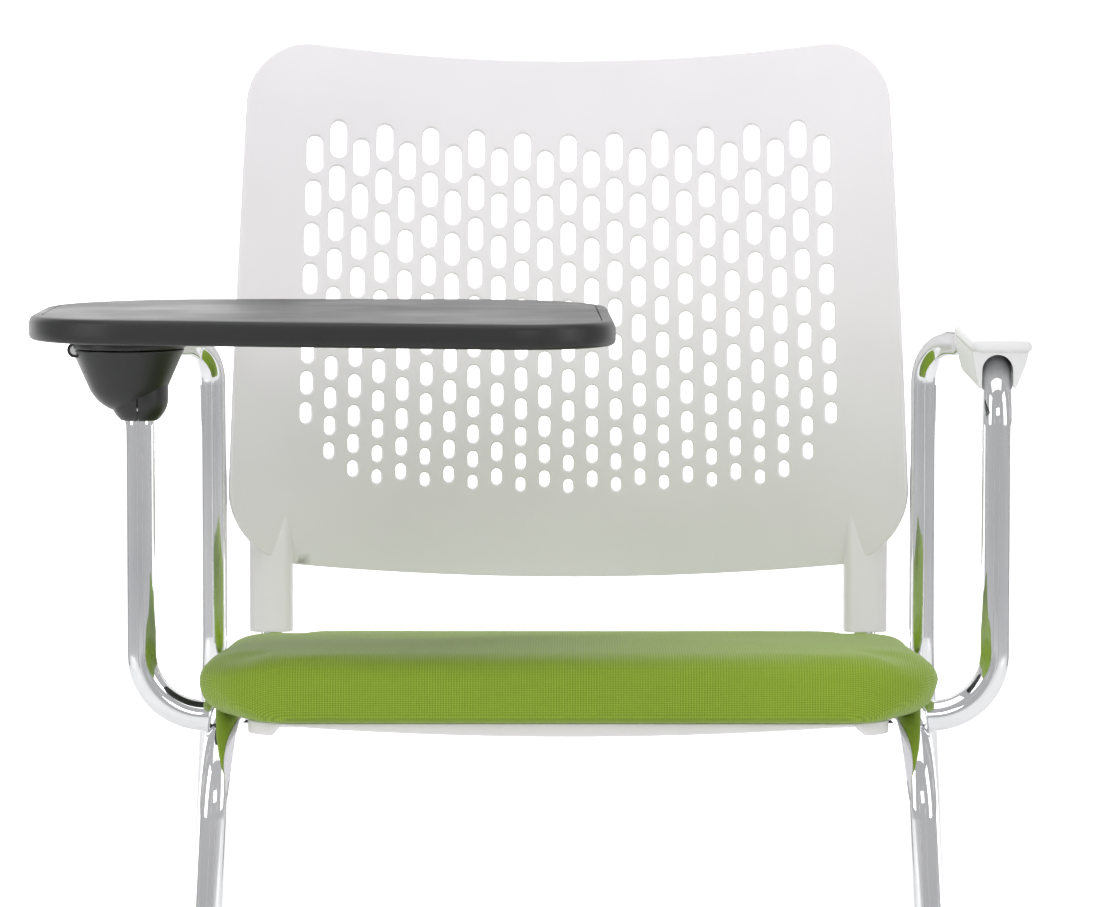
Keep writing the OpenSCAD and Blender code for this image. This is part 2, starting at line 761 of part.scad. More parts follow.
module swivel_bolt() {
    color("gray") placed() translate([swivel_x, swivel_y, 0]) {
        translate([0, 0, flip_z - 2]) cylinder(h = 2, r = swivel_r + 2);
        translate([0, 0, flip_z - 1]) cylinder(h = tablet_base_z + 1.2 - flip_z, r = swivel_r);
        translate([0, 0, tablet_base_z + fit_gap]) cylinder(h = 3, r = swivel_head_r);
    }
}

module slide_washer() {
    color("ivory") placed() translate([swivel_x, swivel_y, flip_z + plate_t]) difference() {
        cylinder(h = washer_t - fit_gap, r = 24);
        translate([0, 0, -1]) cylinder(h = washer_t + 2, r = swivel_r + 0.02);
    }
}

module tablet_screw_places() {
    for (a = [45:90:315])
        translate([swivel_x, swivel_y, 0]) rotate([0, 0, a]) translate([28, 0, disc_z]) children();
}

module swivel_plate() {
    color("#2b2b2b") placed() difference() {
        translate([swivel_x, swivel_y, disc_z]) cylinder(h = disc_t, r = cover_r - 1);
        translate([swivel_x, swivel_y, disc_z - 1]) cylinder(h = disc_t + 2, r = swivel_r + fit_gap);
        tablet_screw_places() {
            translate([0, 0, -0.1]) cylinder(h = 2.1, r1 = 4.2, r2 = 2.1, $fn = 24);
            cylinder(h = disc_t + 1, r = 2.1, $fn = 24);
        }
    }
}

module tablet_screws() {
    color("gray") placed() tablet_screw_places() {
        cylinder(h = 2, r1 = 4, r2 = 2, $fn = 24);
        translate([0, 0, 1.9]) cylinder(h = 9, r = 2, $fn = 24);
    }
}

// Points where the straight edges of the tablet touch its corner arcs, pulled in by inset
function edge_points(c, inset) = [
    for (i = [0:len(c) - 1]) let (
        p = c[i],
        q = c[(i + 1) % len(c)],
        d = [q[0] - p[0], q[1] - p[1]],
        a = atan2(d[1], d[0]) - acos((p[2] - q[2]) / norm(d)),
        n = [cos(a), sin(a)]
    ) each [[p[0], p[1]] + (p[2] - inset) * n, [q[0], q[1]] + (q[2] - inset) * n]
];

module tablet_outline(inset) {
    polygon(edge_points(tablet_corners, inset));
    for (c = tablet_corners)
        translate([c[0], c[1]]) circle(r = c[2] - inset, $fn = 120);
}

module tablet_board() {
    color("#3a3a3c") placed() difference() {
        translate([0, 0, tablet_base_z]) linear_extrude(tablet_t) tablet_outline(tablet_edge);
        translate([swivel_x, swivel_y, tablet_base_z - 1]) cylinder(h = 5, r = swivel_head_r + 1);
        tablet_screw_places() translate([0, 0, disc_t - 1]) cylinder(h = 11, r = 2.02, $fn = 24);
    }
}

module tablet_rim() {
    color("#2f2f31") placed() translate([0, 0, tablet_base_z]) linear_extrude(tablet_t) difference() {
        tablet_outline(0);
        tablet_outline(tablet_edge);
    }
}

left_leg_tube();
right_leg_tube();
left_arm_tube();
right_arm_tube();
front_cross_bar();
middle_cross_bar();
rear_cross_tube();
leg_glides();
seat_pan();
seat_board();
seat_cushion();
seat_screws();
seat_tee_nuts();
backrest();
back_screws();
stacking_bumpers();
arm_pad();
arm_pad_screws();
clamp_outer_half();
clamp_inner_half();
clamp_screws();
hinge_pin();
hinge_cover();
flip_plate();
swivel_bolt();
slide_washer();
swivel_plate();
tablet_board();
tablet_rim();
tablet_screws();
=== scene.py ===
import json
import math

import bmesh
import bpy
import numpy as np
from mathutils import Matrix, Vector
from mathutils.geometry import delaunay_2d_cdt


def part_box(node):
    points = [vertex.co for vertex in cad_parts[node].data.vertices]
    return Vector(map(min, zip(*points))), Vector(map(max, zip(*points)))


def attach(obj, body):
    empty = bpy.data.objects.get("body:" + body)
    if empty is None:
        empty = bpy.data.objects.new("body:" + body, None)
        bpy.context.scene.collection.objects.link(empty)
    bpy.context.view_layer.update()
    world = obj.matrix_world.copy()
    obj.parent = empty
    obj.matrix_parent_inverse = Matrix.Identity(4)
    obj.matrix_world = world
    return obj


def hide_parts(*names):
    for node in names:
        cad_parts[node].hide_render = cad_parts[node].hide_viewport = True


# A classroom chair with chromed tube frame, perforated plastic back, upholstered
# seat and a folding writing tablet. Sizes in the dictionaries are in millimetres.

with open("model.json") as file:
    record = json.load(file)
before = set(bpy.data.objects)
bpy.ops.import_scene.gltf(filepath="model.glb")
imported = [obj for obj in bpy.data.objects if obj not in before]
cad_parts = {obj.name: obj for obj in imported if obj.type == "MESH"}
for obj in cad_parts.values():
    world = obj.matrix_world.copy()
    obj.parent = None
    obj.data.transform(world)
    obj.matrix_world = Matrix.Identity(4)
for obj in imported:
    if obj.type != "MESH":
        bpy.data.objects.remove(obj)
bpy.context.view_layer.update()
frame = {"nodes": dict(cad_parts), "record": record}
scene = bpy.context.scene
print("frame loaded")

# Where the chair's own zero lies in the frame: its middle plane, and the line the seat is set out from
chair = {"frontPostAhead": 120}
backLow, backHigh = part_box("backrest")
postLow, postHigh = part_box("clamp_inner_half")
chairZero = Vector((
    (backLow.x + backHigh.x) / 2,
    (postLow.y + postHigh.y) / 2 + chair["frontPostAhead"] / 1000,
    0))


def place(x, y, z):
    return chairZero + Vector((x, y, z)) / 1000


# Materials

def toLinear(hexColour):
    channels = [int(hexColour[i:i + 2], 16) / 255 for i in (1, 3, 5)]
    return [c / 12.92 if c <= 0.04045 else ((c + 0.055) / 1.055) ** 2.4 for c in channels] + [1]


def setInputs(tree, node, inputs):
    for name, value in inputs.items():
        if isinstance(value, bpy.types.NodeSocket):
            tree.links.new(value, node.inputs[name])
        else:
            node.inputs[name].default_value = value


def addNode(tree, kind, inputs=None, **settings):
    node = tree.nodes.new(kind)
    for name, value in settings.items():
        setattr(node, name, value)
    setInputs(tree, node, inputs or {})
    return node


def newMaterial(name):
    material = bpy.data.materials.new(name)
    material.use_nodes = True
    tree = material.node_tree
    where = addNode(tree, "ShaderNodeTexCoord").outputs["Object"]
    return material, tree, tree.nodes["Principled BSDF"], where


def mixColours(tree, low, high, factor):
    return addNode(tree, "ShaderNodeMixRGB", {
        "Fac": factor, "Color1": toLinear(low), "Color2": toLinear(high)}).outputs["Color"]


def spread(tree, value, low, high):
    return addNode(tree, "ShaderNodeMapRange", {
        "Value": value, "From Min": 0.3, "From Max": 0.7, "To Min": low, "To Max": high}).outputs["Result"]


# Moulded plastic: a fine spark-eroded grain that softens highlights, and slow patches of gloss.
def plasticMaterial(name, low, high, roughLow, roughHigh, grain, depth, ior=1.49):
    material, tree, shader, where = newMaterial(name)
    patches = addNode(tree, "ShaderNodeTexNoise", {"Vector": where, "Scale": 14.0, "Detail": 3.0})
    fine = addNode(tree, "ShaderNodeTexNoise", {"Vector": where, "Scale": 1000 / grain, "Detail": 2.0})
    bump = addNode(tree, "ShaderNodeBump", {
        "Height": fine.outputs["Fac"], "Strength": 0.35, "Distance": depth / 1000})
    setInputs(tree, shader, {
        "Base Color": mixColours(tree, low, high, patches.outputs["Fac"]),
        "Roughness": spread(tree, patches.outputs["Fac"], roughLow, roughHigh),
        "IOR": ior,
        "Normal": bump.outputs["Normal"]})
    return material


# Polished metal: mirror-like, with faint wipe marks that only show in the highlights.
def metalMaterial(name, colour, roughLow, roughHigh, scratch):
    material, tree, shader, where = newMaterial(name)
    stretched = addNode(tree, "ShaderNodeMapping", {"Vector": where, "Scale": (1.0, 1.0, 0.12)})
    marks = addNode(tree, "ShaderNodeTexNoise", {
        "Vector": stretched.outputs["Vector"], "Scale": 1000 / scratch, "Detail": 4.0})
    haze = addNode(tree, "ShaderNodeTexNoise", {"Vector": where, "Scale": 9.0, "Detail": 2.0})
    both = addNode(tree, "ShaderNodeMath", {
        0: marks.outputs["Fac"], 1: haze.outputs["Fac"]}, operation="MULTIPLY").outputs[0]
    setInputs(tree, shader, {
        "Base Color": mixColours(tree, colour, "#FFFFFF", haze.outputs["Fac"]),
        "Metallic": 1.0,
        "Roughness": addNode(tree, "ShaderNodeMapRange", {
            "Value": both, "From Min": 0.1, "From Max": 0.45,
            "To Min": roughLow, "To Max": roughHigh}).outputs["Result"]})
    return material


# Knitted seat cloth: small raised stitches in close rows, with painted shade darker between them, and a soft
# bloom.
def fabricMaterial(name, low, high, rib, stitch, depth):
    material, tree, shader, where = newMaterial(name)
    axes = addNode(tree, "ShaderNodeSeparateXYZ", {0: where})
    geometry = addNode(tree, "ShaderNodeNewGeometry")
    facing = addNode(tree, "ShaderNodeSeparateXYZ", {0: geometry.outputs["Normal"]})
    sideways = addNode(tree, "ShaderNodeMath", {0: facing.outputs["X"]}, operation="ABSOLUTE").outputs[0]
    isSide = addNode(tree, "ShaderNodeMath", {0: sideways, 1: 0.8}, operation="GREATER_THAN").outputs[0]
    across = addNode(tree, "ShaderNodeMix", {
        "Factor": isSide, "A": axes.outputs["X"], "B": axes.outputs["Z"]}).outputs["Result"]
    along = addNode(tree, "ShaderNodeMath", {
        0: axes.outputs["Y"], 1: axes.outputs["Z"]}, operation="ADD").outputs[0]
    waves = []
    for value, period in ((across, stitch), (along, rib)):
        turn = addNode(tree, "ShaderNodeMath", {0: value, 1: 2000 * math.pi / period}, operation="MULTIPLY")
        wave = addNode(tree, "ShaderNodeMath", {0: turn.outputs[0]}, operation="SINE")
        waves.append(addNode(tree, "ShaderNodeMath", {
            0: wave.outputs[0], 1: 0.5, 2: 0.5}, operation="MULTIPLY_ADD"))
    weave = addNode(tree, "ShaderNodeMath", {
        0: waves[0].outputs[0], 1: waves[1].outputs[0]}, operation="MULTIPLY").outputs[0]
    yarn = addNode(tree, "ShaderNodeTexNoise", {"Vector": where, "Scale": 1400.0, "Detail": 3.0})
    cloud = addNode(tree, "ShaderNodeTexNoise", {"Vector": where, "Scale": 11.0, "Detail": 2.0})
    height = addNode(tree, "ShaderNodeMath", {
        0: yarn.outputs["Fac"], 1: 0.45, 2: weave}, operation="MULTIPLY_ADD").outputs[0]
    bump = addNode(tree, "ShaderNodeBump", {"Height": height, "Strength": 0.55, "Distance": depth / 1000})
    # the colour follows the stitch height, so the low places between stitches carry painted shade; the yarn
    # and cloud noise add random tone
    stitchShadeAndTone = addNode(tree, "ShaderNodeMath", {
        0: cloud.outputs["Fac"], 1: 0.25, 2: height}, operation="MULTIPLY_ADD").outputs[0]
    setInputs(tree, shader, {
        "Base Color": mixColours(tree, low, high, stitchShadeAndTone),
        "Roughness": 0.85,
        "Sheen Weight": 0.18,
        "Sheen Roughness": 0.5,
        "IOR": 1.45,
        "Normal": bump.outputs["Normal"]})
    return material


# Beech plywood: long straight grain with thin darker pores.
def woodMaterial(name, low, high, ring):
    material, tree, shader, where = newMaterial(name)
    stretched = addNode(tree, "ShaderNodeMapping", {"Vector": where, "Scale": (1.0, 0.06, 1.0)})
    grain = addNode(tree, "ShaderNodeTexNoise", {
        "Vector": stretched.outputs["Vector"], "Scale": 1000 / ring, "Detail": 6.0})
    setInputs(tree, shader, {
        "Base Color": mixColours(tree, low, high, grain.outputs["Fac"]),
        "Roughness": spread(tree, grain.outputs["Fac"], 0.5, 0.7), "IOR": 1.5})
    return material


# Chrome plate: a bright mirror over drawn steel, so the eye reads it from its reflections
chrome = metalMaterial("chromePlatedSteel", "#DADCDF", 0.02, 0.07, 0.8)
# Zinc plate: duller and faintly blue, for the brackets and screws
zinc = metalMaterial("zincPlatedSteel", "#B9BDC2", 0.22, 0.4, 0.5)
# White polypropylene: satin, so the big shell shades softly without a hard highlight
whitePlastic = plasticMaterial("whitePolypropylene", "#E8E5E8", "#EFECEF", 0.42, 0.52, 0.5, 0.03)
# White nylon: a little glossier than the shell
padPlastic = plasticMaterial("whitePolyamide", "#E2E2E2", "#E8E8E8", 0.3, 0.4, 0.4, 0.02, 1.53)
# Black nylon: fine texture and a broad grey sheen
blackPlastic = plasticMaterial("blackPolyamide", "#1C1C1D", "#242425", 0.3, 0.4, 0.45, 0.03, 1.53)
# Tablet edge: soft black plastic, matt with a wide highlight
edgePlastic = plasticMaterial("blackPolyurethane", "#1B1B1C", "#222223", 0.38, 0.48, 0.5, 0.04)
# Tablet top: high pressure laminate with a pebbled finish
laminate = plasticMaterial("greyLaminate", "#2C2C2E", "#333335", 0.38, 0.5, 0.8, 0.05, 1.48)
# Rubber and glide plastics: dark, matt, hardly any highlight
rubber = plasticMaterial("blackRubber", "#1A1A1A", "#232323", 0.7, 0.85, 0.7, 0.04, 1.52)
glidePlastic = plasticMaterial("greyPolyethylene", "#3B3C3E", "#454648", 0.45, 0.6, 0.6, 0.03, 1.51)
acetal = plasticMaterial("whiteAcetal", "#E9E7DF", "#F1EFE8", 0.3, 0.42, 0.4, 0.01, 1.48)
beech = woodMaterial("beechPlywood", "#C79A66", "#E2BD8B", 2.5)
cloth = fabricMaterial("greenKnit", "#5F7C12", "#93B02C", 1.5, 1.7, 0.3)
print("materials made")


# Shapes

def addPiece(name, points, faces, material, body, stands=(), sharpAngle=None, normals=None):
    mesh = bpy.data.meshes.new(name)
    mesh.from_pydata([tuple(p) for p in points], [], faces)
    mesh.update()
    mesh.shade_smooth()
    piece = bpy.data.objects.new(name, mesh)
    scene.collection.objects.link(piece)
    mesh.materials.append(material)
    if normals is None:
        fixNormals(mesh)
        mesh.set_sharp_from_angle(angle=math.radians(sharpAngle or 180))
        weighted = piece.modifiers.new("evenNormals", "WEIGHTED_NORMAL")
        weighted.keep_sharp = True
    else:
        mesh.normals_split_custom_set_from_vertices([tuple(n) for n in normals])
    finishPiece(piece, body, stands)
    return piece


def fixNormals(mesh):
    shape = bmesh.new()
    shape.from_mesh(mesh)
    bmesh.ops.recalc_face_normals(shape, faces=shape.faces)
    shape.to_mesh(mesh)
    shape.free()


def finishPiece(piece, body, stands):
    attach(piece, body)
    if stands:
        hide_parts(*stands)


# Faces over equal rings of points. closeRings joins the last ring back to the first one.
def loft(rings, closeRings=False, capStart=True, capEnd=True, first=0):
    count = len(rings[0])
    faces = []
    steps = len(rings) if closeRings else len(rings) - 1
    for i in range(steps):
        for j in range(count):
            a = first + i * count
            b = first + (i + 1) % len(rings) * count
            k = (j + 1) % count
            faces.append((a + j, a + k, b + k, b + j))
    if capStart and not closeRings:
        faces.append(tuple(first + j for j in reversed(range(count))))
    if capEnd and not closeRings:
        faces.append(tuple(first + (len(rings) - 1) * count + j for j in range(count)))
    return [p for ring in rings for p in ring], faces


def arc(start, stop, count):
    return [start + (stop - start) * i / count for i in range(count + 1)]


# Points (x, y) round a rectangle with round corners, anticlockwise.
def roundRectangle(width, depth, radius, steps=6):
    points = []
    for cornerX, cornerY, start in ((1, 1, 0), (-1, 1, 90), (-1, -1, 180), (1, -1, 270)):
        for angle in arc(start, start + 90, steps):
            a = math.radians(angle)
            points.append((
                cornerX * (width / 2 - radius) + radius * math.cos(a),
                cornerY * (depth / 2 - radius) + radius * math.sin(a)))
    return points


# Centre line through corner points in millimetres, with an arc of the given radius at each.
def bentPath(corners, radii, step=4):
    corners = [Vector(c) for c in corners]
    points = [corners[0]]
    for i in range(1, len(corners) - 1):
        back = (corners[i - 1] - corners[i]).normalized()
        on = (corners[i + 1] - corners[i]).normalized()
        turn = math.pi - back.angle(on)
        centre = corners[i] + (back + on).normalized() * radii[i] / math.cos(turn / 2)
        start = corners[i] + back * radii[i] * math.tan(turn / 2) - centre
        count = max(4, int(math.degrees(turn) / step))
        axis = -back.cross(on).normalized()
        for k in range(count + 1):
            points.append(centre + Matrix.Rotation(turn * k / count, 3, axis) @ start)
    points.append(corners[-1])
    return points


# Rings round a path and the radial direction at each point.
def sweepTube(path, radius, sides=48):
    rings = []
    normals = []
    heading = (path[1] - path[0]).normalized()
    side = heading.orthogonal().normalized()
    for i, point in enumerate(path):
        ahead = (path[min(i + 1, len(path) - 1)] - path[max(i - 1, 0)]).normalized()
        side = heading.rotation_difference(ahead) @ side
        heading = ahead
        other = heading.cross(side)
        ring = []
        for angle in arc(0, 2 * math.pi, sides)[:-1]:
            out = side * math.cos(angle) + other * math.sin(angle)
            ring.append(place(*(point + out * radius)))
            normals.append(out)
        rings.append(ring)
    return rings, normals


# Rings of a profile of (radius, height) turned about a vertical axis at centre.
def revolve(profile, centre, sides=64):
    angles = [math.radians(a) for a in arc(0, 360, sides)][:-1]
    x, y = centre
    return [[place(x + r * math.cos(a), y + r * math.sin(a), z) for a in angles] for r, z in profile]


# Frame tubes

tubes = {
    "diameter": 20,
    "legCorners": [(244, -214, 8), (223, -188, 431), (212.5, 238.7, 408.6), (212.5, 238.7, 547)],
    "legBends": [0, 60, 32, 0],
    "armCorners": [
        (221.3, -120, 427.4), (277.5, -120, 427.4), (277.5, -120, 652), (282.5, 177.3, 652),
        (252.5, 215, 652), (252.5, 215, 430), (276, 292, 8)],
    "armBends": [0, 42, 34, 30, 30, 120, 0],
    "weldBead": 1.6,
}


def addTube(name, corners, bends, side, node):
    mirrored = [(side * x, y, z) for x, y, z in corners]
    path = bentPath(mirrored, bends)
    # tangents are taken over neighbouring points, so points close to each arc's ends keep straights straight
    fuller = []
    for before, after in zip(path, path[1:]):
        fuller.append(before)
        if (after - before).length > 8:
            along = (after - before).normalized()
            fuller += [before + along, after - along]
    fuller.append(path[-1])
    rings, normals = sweepTube(fuller, tubes["diameter"] / 2)
    points, faces = loft(rings, capStart=False, capEnd=False)
    addPiece(name, points, faces, chrome, "chair_frame", [node], normals=normals)


# Bead where the arm tube is saddled on to the seat rail, drawn round the joint.
def addWeld(name, side):
    stubX, stubY, stubZ = tubes["armCorners"][0]
    radius = tubes["diameter"] / 2
    ring = []
    for angle in arc(0, 2 * math.pi, 48)[:-1]:
        across = math.cos(angle) * radius
        up = math.sin(angle) * radius
        off = math.sqrt(max(radius ** 2 - up ** 2, 0))
        ring.append(Vector((side * (stubX + max(off, 2) + 0.4), stubY + across, stubZ + up)))
    rings = []
    for i, point in enumerate(ring):
        ahead = (ring[(i + 1) % len(ring)] - ring[i - 1]).normalized()
        out = (point - Vector((point.x, stubY, stubZ))).normalized()
        over = ahead.cross(out).normalized()
        swell = tubes["weldBead"] * (1 + 0.12 * math.sin(i * 2.4))
        rings.append([place(*(point + (out * math.cos(a) + over * math.sin(a)) * swell))
                      for a in arc(0, 2 * math.pi, 8)[:-1]])
    points, faces = loft(rings, closeRings=True)
    addPiece(name, points, faces, chrome, "chair_frame")


for side, word in ((1, "right"), (-1, "left")):
    addTube(word + "LegTube", tubes["legCorners"], tubes["legBends"], side, word + "_leg_tube")
    addTube(word + "ArmTube", tubes["armCorners"], tubes["armBends"], side, word + "_arm_tube")
    addWeld(word + "ArmWeld", side)
print("tubes made")


# Backrest

back = {
    "topHeight": 863, "dip": 13, "bottomHeight": 479, "topHalf": 229, "lowHalf": 240.5, "thickness": 5,
    "wrapRadius": 700, "profileRadius": 800, "lumbarHeight": 590, "face": 252,
    "topCorner": 42, "lowCorner": 55, "bellyHalf": 212.5, "belly": 14,
    "rim": 1.5, "slotRim": 1.4, "columns": 11, "pitch": 16.4, "fan": 0.003, "slotTop": 797,
    "widthTop": 11.5, "widthLow": 6.5, "step": 32, "stepDrop": 1.63, "bar": 6,
    "stagger": 11.8, "rise": 12,
    "socketX": 212.5, "socketY": 238.7, "socketWidth": 31, "socketDepth": 28,
    "socketLow": 443, "socketHigh": 561,
}


# Point of the shell at x and z, depth millimetres behind its face, measured square to the face.
def backPoint(x, z, depth):
    def face(x, z):
        sag = back["profileRadius"] - math.sqrt(back["profileRadius"] ** 2 - (z - back["lumbarHeight"]) ** 2)
        reach = back["wrapRadius"] + sag
        return Vector((x, back["face"] - back["wrapRadius"] + math.sqrt(reach ** 2 - x ** 2), z))
    here = face(x, z)
    normal = (face(x, z + 1) - face(x, z - 1)).cross(face(x + 1, z) - face(x - 1, z)).normalized()
    if normal.y > 0:
        normal = -normal
    return here - normal * depth, normal


# Points round the shell with the outward direction at each, anticlockwise from the bottom left.
def outlineLoop():
    dipRadius = ((back["topHalf"] - back["topCorner"]) ** 2 + back["dip"] ** 2) / (2 * back["dip"])
    bellyRadius = (back["bellyHalf"] ** 2 + back["belly"] ** 2) / (2 * back["belly"])
    topX = back["topHalf"] - back["topCorner"]
    topZ = back["topHeight"] - back["topCorner"]
    dipZ = topZ + math.sqrt((dipRadius + back["topCorner"]) ** 2 - topX ** 2)
    lowX = back["lowHalf"] - back["lowCorner"]
    bellyZ = back["bottomHeight"] + bellyRadius
    lowZ = bellyZ - math.sqrt((bellyRadius - back["lowCorner"]) ** 2 - lowX ** 2)
    dipAngle = math.degrees(math.asin(topX / (dipRadius + back["topCorner"])))
    bellyAngle = math.degrees(math.asin(lowX / (bellyRadius - back["lowCorner"])))
    lean = math.degrees(math.atan2(back["lowHalf"] - back["topHalf"], topZ - lowZ))
    arcs = [
        ((0, bellyZ), bellyRadius, -90 - bellyAngle, -90 + bellyAngle, 40, 1),
        ((lowX, lowZ), back["lowCorner"], -90 + bellyAngle, lean, 20, 1),
        ((topX, topZ), back["topCorner"], lean, 90 + dipAngle, 18, 1),
        ((0, dipZ), dipRadius, -90 + dipAngle, -90 - dipAngle, 40, -1),
        ((-topX, topZ), back["topCorner"], 90 - dipAngle, 180 - lean, 18, 1),
        ((-lowX, lowZ), back["lowCorner"], 180 - lean, 270 - bellyAngle, 20, 1),
    ]
    loop = []
    for (x, z), radius, start, stop, count, way in arcs:
        for angle in arc(start, stop, count)[:-1]:
            dx, dz = math.cos(math.radians(angle)), math.sin(math.radians(angle))
            loop.append((x + radius * dx, z + radius * dz, way * dx, way * dz))
        if way > 0 and radius < 100:
            # the straight side between two corners gets points of its own
            dx, dz = math.cos(math.radians(stop)), math.sin(math.radians(stop))
            nextX, nextZ = x + radius * dx, z + radius * dz
            loop.append((nextX, nextZ, dx, dz))
            if (x, z) == (lowX, lowZ) or (x, z) == (-topX, topZ):
                length = math.hypot(topX - lowX, topZ - lowZ)
                for k in range(1, 28):
                    loop.append((nextX - dz * length * k / 28, nextZ + dx * length * k / 28, dx, dz))
    return loop


# Centre, width and length of every slot.
def slotList():
    slots = []
    for column in range(-back["columns"], back["columns"] + 1):
        off = abs(column)
        if off % 2 == 0:
            count = 11 if off < 10 else 10
        else:
            count = 10 if off < 11 else 8
        head = back["slotTop"] - off % 2 * back["stagger"] + back["rise"] * (off / 11) ** 1.3
        for i in range(count):
            width = back["widthTop"] + (back["widthLow"] - back["widthTop"]) * i / 10
            length = back["step"] - back["stepDrop"] * i - back["bar"]
            drop = i * back["step"] - back["stepDrop"] * i * (i - 1) / 2
            z = head - drop - length / 2
            slots.append((column * (back["pitch"] + (back["slotTop"] - z) * back["fan"]), z, width, length))
    return slots


# Points round a slot with the direction into the opening at each, clockwise.
def slotLoop(x, z, width, length, steps=10):
    loop = []
    for way in (1, -1):
        middle = z + way * (length - width) / 2
        for angle in arc(0, 180, steps):
            a = math.radians(angle if way > 0 else angle + 180)
            dx, dz = math.cos(a), math.sin(a)
            loop.append((x + width / 2 * dx, middle + width / 2 * dz, -dx, -dz))
    return loop[::-1]


# Which points of an array lie in a slot grown by grow.
def inAnySlot(points, slots, grow):
    inside = np.zeros(len(points), bool)
    for x, z, width, length in slots:
        reach = (length - width) / 2
        dz = np.clip(points[:, 1] - z, -reach, reach)
        inside |= np.hypot(points[:, 0] - x, points[:, 1] - z - dz) < width / 2 + grow
    return inside


def inOutline(points, loop):
    inside = np.zeros(len(points), bool)
    for (ax, az), (bx, bz) in zip(loop, loop[1:] + loop[:1]):
        crosses = (az > points[:, 1]) != (bz > points[:, 1])
        at = ax + (points[:, 1] - az) * (bx - ax) / (bz - az if bz != az else 1e-9)
        inside ^= crosses & (points[:, 0] < at)
    return inside


def makeBackrest():
    slots = slotList()
    loops = [(outlineLoop(), back["rim"])] + [(slotLoop(*s), back["slotRim"]) for s in slots]
    flat = []
    edges = []
    starts = []
    for loop, rim in loops:
        starts.append(len(flat))
        count = len(loop)
        edges += [(starts[-1] + i, starts[-1] + (i + 1) % count) for i in range(count)]
        flat += [(x - dx * rim, z - dz * rim) for x, z, dx, dz in loop]
    edgeLoop = flat[:len(loops[0][0])]
    grid = np.array([(x, z) for x in np.arange(-238, 239, 9.0) for z in np.arange(482, 862, 9.0)])
    grid += 0.11 * np.sin(grid[:, ::-1] * 0.37)
    shrunk = [(x - dx * 6, z - dz * 6) for x, z, dx, dz in loops[0][0]]
    grid = grid[inOutline(grid, shrunk) & ~inAnySlot(grid, slots, 4.5)]
    everything = [Vector(p) for p in flat] + [Vector(p) for p in grid]
    found, _, triangles, origins, _, _ = delaunay_2d_cdt(everything, edges, [], 0, 1e-6)
    where = {old: new for new, olds in enumerate(origins) for old in olds}
    centres = np.array([(sum((found[v] for v in t), Vector((0, 0)))) / 3 for t in triangles])
    kept = inOutline(centres, edgeLoop) & ~inAnySlot(centres, slots, back["slotRim"] - 0.02)
    triangles = [t for t, keep in zip(triangles, kept) if keep]
    thickness = back["thickness"]
    points = []
    normals = []
    for depth, way in ((0, 1), (thickness, -1)):
        for p in found:
            point, normal = backPoint(p[0], p[1], depth)
            points.append(place(*point))
            normals.append(normal * way)
    total = len(found)
    faces = []
    for t in triangles:
        a, b, c = (found[v] for v in t)
        if (b - a).cross(c - a) < 0:
            t = t[::-1]
        faces.append(tuple(t))
        faces.append(tuple(total + v for v in t[::-1]))
    for (loop, rim), start in zip(loops, starts):
        count = len(loop)
        turns = [k / 4 * math.pi / 2 for k in range(1, 5)]
        rounds = [(angle, 0) for angle in turns] + [(angle, 1) for angle in reversed(turns)]
        rings = [[where[start + i] for i in range(count)]]
        for angle, isBack in rounds:
            ring = []
            for x, z, dx, dz in loop:
                inward = rim * (1 - math.sin(angle))
                depth = rim * (1 - math.cos(angle))
                px, pz = x - dx * inward, z - dz * inward
                point, normal = backPoint(px, pz, thickness - depth if isBack else depth)
                out = (backPoint(px + dx * 0.1, pz + dz * 0.1, 0)[0] - backPoint(px, pz, 0)[0]).normalized()
                ring.append(len(points))
                points.append(place(*point))
                outward = -normal if isBack else normal
                normals.append((outward * math.cos(angle) + out * math.sin(angle)).normalized())
            rings.append(ring)
        rings.append([total + where[start + i] for i in range(count)])
        for inner, outer in zip(rings, rings[1:]):
            for i in range(count):
                k = (i + 1) % count
                faces.append((inner[k], inner[i], outer[i], outer[k]))
    addSockets(points, normals, faces)
    used = sorted({v for f in faces for v in f})
    renumber = {v: i for i, v in enumerate(used)}
    faces = [tuple(renumber[v] for v in f) for f in faces]
    return addPiece("backrestShell", [points[v] for v in used], faces, whitePlastic, "chair_frame",
                    ["backrest"], normals=[normals[v] for v in used])


# The two sleeves behind the lower corners that slide down over the frame's uprights.
def addSockets(points, normals, faces):
    outline = roundRectangle(1, 1, 0.2, 8)
    for side in (1, -1):
        stations = [(back["socketLow"], 0.8), (back["socketLow"] + 0.3, 0.3), (back["socketLow"] + 1.5, 0)]
        straight = back["socketHigh"] - 12 - back["socketLow"]
        stations += [(back["socketLow"] + straight * k / 8, 0) for k in range(1, 9)]
        stations += [(back["socketHigh"] - 12 + 12 * math.sin(a), 13 * (1 - math.cos(a)))
                     for a in arc(0, math.pi / 2, 6)[1:]]
        rings = []
        for z, inset in stations:
            width = back["socketWidth"] - 2 * inset
            depth = back["socketDepth"] - 2 * inset
            rings.append([(side * back["socketX"] + x * width, back["socketY"] + y * depth, z)
                          for x, y in outline])
        first = len(points)
        count = len(outline)
        _, made = loft(rings, first=first)
        for k, ring in enumerate(rings):
            for j, p in enumerate(ring):
                before, after = Vector(ring[j - 1]), Vector(ring[(j + 1) % count])
                low, high = Vector(rings[max(k - 1, 0)][j]), Vector(rings[min(k + 1, len(rings) - 1)][j])
                points.append(place(*p))
                normals.append((after - before).cross(high - low).normalized())
        faces += made


makeBackrest()
print("backrest made")


# Seat

